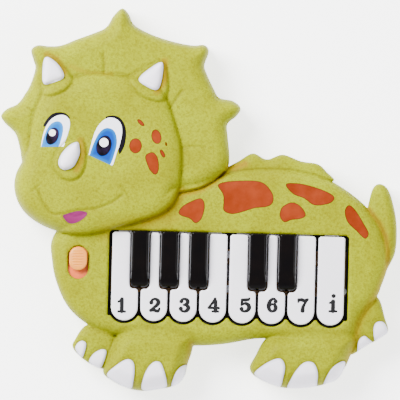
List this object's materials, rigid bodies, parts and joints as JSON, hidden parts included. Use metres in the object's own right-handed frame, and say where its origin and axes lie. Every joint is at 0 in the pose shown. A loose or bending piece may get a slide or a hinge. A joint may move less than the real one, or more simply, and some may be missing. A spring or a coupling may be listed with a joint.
{
  "type": "toy electronic keyboard",
  "caption": "Toy electronic keyboard in a flat case shaped like a young horned dinosaur, with hinged white and black keys and a slide switch.",
  "frame": {"origin": "middle of the outer box, on the surface that the toy lies on, on its back", "axes": "+X along the keys from low to high notes, +Y towards the crown of the head, +Z out of the face"},
  "size_m": [0.2208, 0.2118, 0.044],
  "materials": {
    "shell_lime": "injection-moulded lime plastic with a fine spark-eroded grain, painted details",
    "white_key": "satin white moulded plastic, printed digits",
    "black_key": "glossy black moulded plastic",
    "knob_peach": "moulded peach plastic",
    "slider_salmon": "moulded salmon plastic",
    "frame_plastic": "natural moulded plastic, unseen inside",
    "steel": "bright zinc-plated steel",
    "rod_steel": "ground steel rod",
    "rubber_foot": "soft black rubber",
    "dome_rubber": "grey silicone rubber",
    "board": "phenolic circuit board",
    "epoxy": "black potting epoxy",
    "component_dark": "component bodies",
    "component_tan": "resistor bodies",
    "felt": "red felt strip",
    "cell_gold": "plain foil-wrapped cell",
    "cell_dark": "plain foil-wrapped cell",
    "nickel": "nickel-plated contact",
    "speaker_paper": "black paper cone",
    "ferrite": "ferrite magnet",
    "lead_red": "red insulated lead",
    "lead_black": "black insulated lead",
    "lead_yellow": "yellow insulated leads",
    "ribbon_grey": "grey ribbon cable"
  },
  "bodies": {
    "case": {"front_shell": "shell_lime", "back_shell": "shell_lime", "case_screws": "steel", "foot_pads": "rubber_foot", "aa_cell_1": "cell_gold", "aa_cell_2": "cell_dark", "aa_cell_3": "cell_gold", "battery_springs": "nickel", "battery_plates": "nickel", "key_frame": "frame_plastic", "frame_screws": "steel", "hinge_rod": "rod_steel", "dome_strip": "dome_rubber", "contact_board": "board", "board_screws": "steel", "front_felt": "felt", "main_board_plate": "board", "main_board_screws": "steel", "chip_blob": "epoxy", "capacitor": "component_dark", "resistors": "component_tan", "transistor": "component_dark", "ribbon_cable": "ribbon_grey", "speaker_basket": "steel", "speaker_cone": "speaker_paper", "speaker_magnet": "ferrite", "speaker_screws": "steel", "switch_can": "steel", "switch_bracket": "frame_plastic", "switch_screws": "steel", "red_lead": "lead_red", "black_lead": "lead_black", "speaker_leads": "lead_yellow"},
    "white_1": {"white_key_1": "white_key"},
    "white_2": {"white_key_2": "white_key"},
    "white_3": {"white_key_3": "white_key"},
    "white_4": {"white_key_4": "white_key"},
    "white_5": {"white_key_5": "white_key"},
    "white_6": {"white_key_6": "white_key"},
    "white_7": {"white_key_7": "white_key"},
    "white_8": {"white_key_8": "white_key"},
    "black_1": {"black_key_1": "black_key"},
    "black_2": {"black_key_2": "black_key"},
    "black_3": {"black_key_3": "black_key"},
    "black_4": {"black_key_4": "black_key"},
    "black_5": {"black_key_5": "black_key"},
    "power_slide": {"slider_knob": "knob_peach", "slider_plate": "slider_salmon", "switch_lever": "component_dark"},
    "door": {"battery_door": "shell_lime", "door_screws": "steel"}
  },
  "joints": [
    {"name": "white_1_press", "type": "hinge", "parent": "case", "child": "white_1", "pos_m": [-0.0396, -0.0116, 0.0222], "axis": [1, 0, 0], "range_deg": [0, 3], "stiffness_Nm_per_rad": 0.5, "springref_deg": -2.86, "deforming": ["dome_strip"]},
    {"name": "white_2_press", "type": "hinge", "parent": "case", "child": "white_2", "pos_m": [-0.0233, -0.0116, 0.0222], "axis": [1, 0, 0], "range_deg": [0, 3], "stiffness_Nm_per_rad": 0.5, "springref_deg": -2.86, "deforming": ["dome_strip"]},
    {"name": "white_3_press", "type": "hinge", "parent": "case", "child": "white_3", "pos_m": [-0.007, -0.0116, 0.0222], "axis": [1, 0, 0], "range_deg": [0, 3], "stiffness_Nm_per_rad": 0.5, "springref_deg": -2.86, "deforming": ["dome_strip"]},
    {"name": "white_4_press", "type": "hinge", "parent": "case", "child": "white_4", "pos_m": [0.0093, -0.0116, 0.0222], "axis": [1, 0, 0], "range_deg": [0, 3], "stiffness_Nm_per_rad": 0.5, "springref_deg": -2.86, "deforming": ["dome_strip"]},
    {"name": "white_5_press", "type": "hinge", "parent": "case", "child": "white_5", "pos_m": [0.0256, -0.0116, 0.0222], "axis": [1, 0, 0], "range_deg": [0, 3], "stiffness_Nm_per_rad": 0.5, "springref_deg": -2.86, "deforming": ["dome_strip"]},
    {"name": "white_6_press", "type": "hinge", "parent": "case", "child": "white_6", "pos_m": [0.0419, -0.0116, 0.0222], "axis": [1, 0, 0], "range_deg": [0, 3], "stiffness_Nm_per_rad": 0.5, "springref_deg": -2.86, "deforming": ["dome_strip"]},
    {"name": "white_7_press", "type": "hinge", "parent": "case", "child": "white_7", "pos_m": [0.0582, -0.0116, 0.0222], "axis": [1, 0, 0], "range_deg": [0, 3], "stiffness_Nm_per_rad": 0.5, "springref_deg": -2.86, "deforming": ["dome_strip"]},
    {"name": "white_8_press", "type": "hinge", "parent": "case", "child": "white_8", "pos_m": [0.0745, -0.0116, 0.0222], "axis": [1, 0, 0], "range_deg": [0, 3], "stiffness_Nm_per_rad": 0.5, "springref_deg": -2.86, "deforming": ["dome_strip"]},
    {"name": "black_1_press", "type": "hinge", "parent": "case", "child": "black_1", "pos_m": [-0.03145, -0.0116, 0.0222], "axis": [1, 0, 0], "range_deg": [0, 3], "stiffness_Nm_per_rad": 0.5, "springref_deg": -2.86, "deforming": ["dome_strip"]},
    {"name": "black_2_press", "type": "hinge", "parent": "case", "child": "black_2", "pos_m": [-0.01515, -0.0116, 0.0222], "axis": [1, 0, 0], "range_deg": [0, 3], "stiffness_Nm_per_rad": 0.5, "springref_deg": -2.86, "deforming": ["dome_strip"]},
    {"name": "black_3_press", "type": "hinge", "parent": "case", "child": "black_3", "pos_m": [0.00115, -0.0116, 0.0222], "axis": [1, 0, 0], "range_deg": [0, 3], "stiffness_Nm_per_rad": 0.5, "springref_deg": -2.86, "deforming": ["dome_strip"]},
    {"name": "black_4_press", "type": "hinge", "parent": "case", "child": "black_4", "pos_m": [0.03375, -0.0116, 0.0222], "axis": [1, 0, 0], "range_deg": [0, 3], "stiffness_Nm_per_rad": 0.5, "springref_deg": -2.86, "deforming": ["dome_strip"]},
    {"name": "black_5_press", "type": "hinge", "parent": "case", "child": "black_5", "pos_m": [0.05005, -0.0116, 0.0222], "axis": [1, 0, 0], "range_deg": [0, 3], "stiffness_Nm_per_rad": 0.5, "springref_deg": -2.86, "deforming": ["dome_strip"]},
    {"name": "power_slide", "type": "slide", "parent": "case", "child": "power_slide", "axis": [0, 1, 0], "range_m": [-0.0045, 0]},
    {"name": "battery_door_off", "type": "slide", "parent": "case", "child": "door", "axis": [0, 0, -1], "range_m": [0, 0.012]}
  ]
}
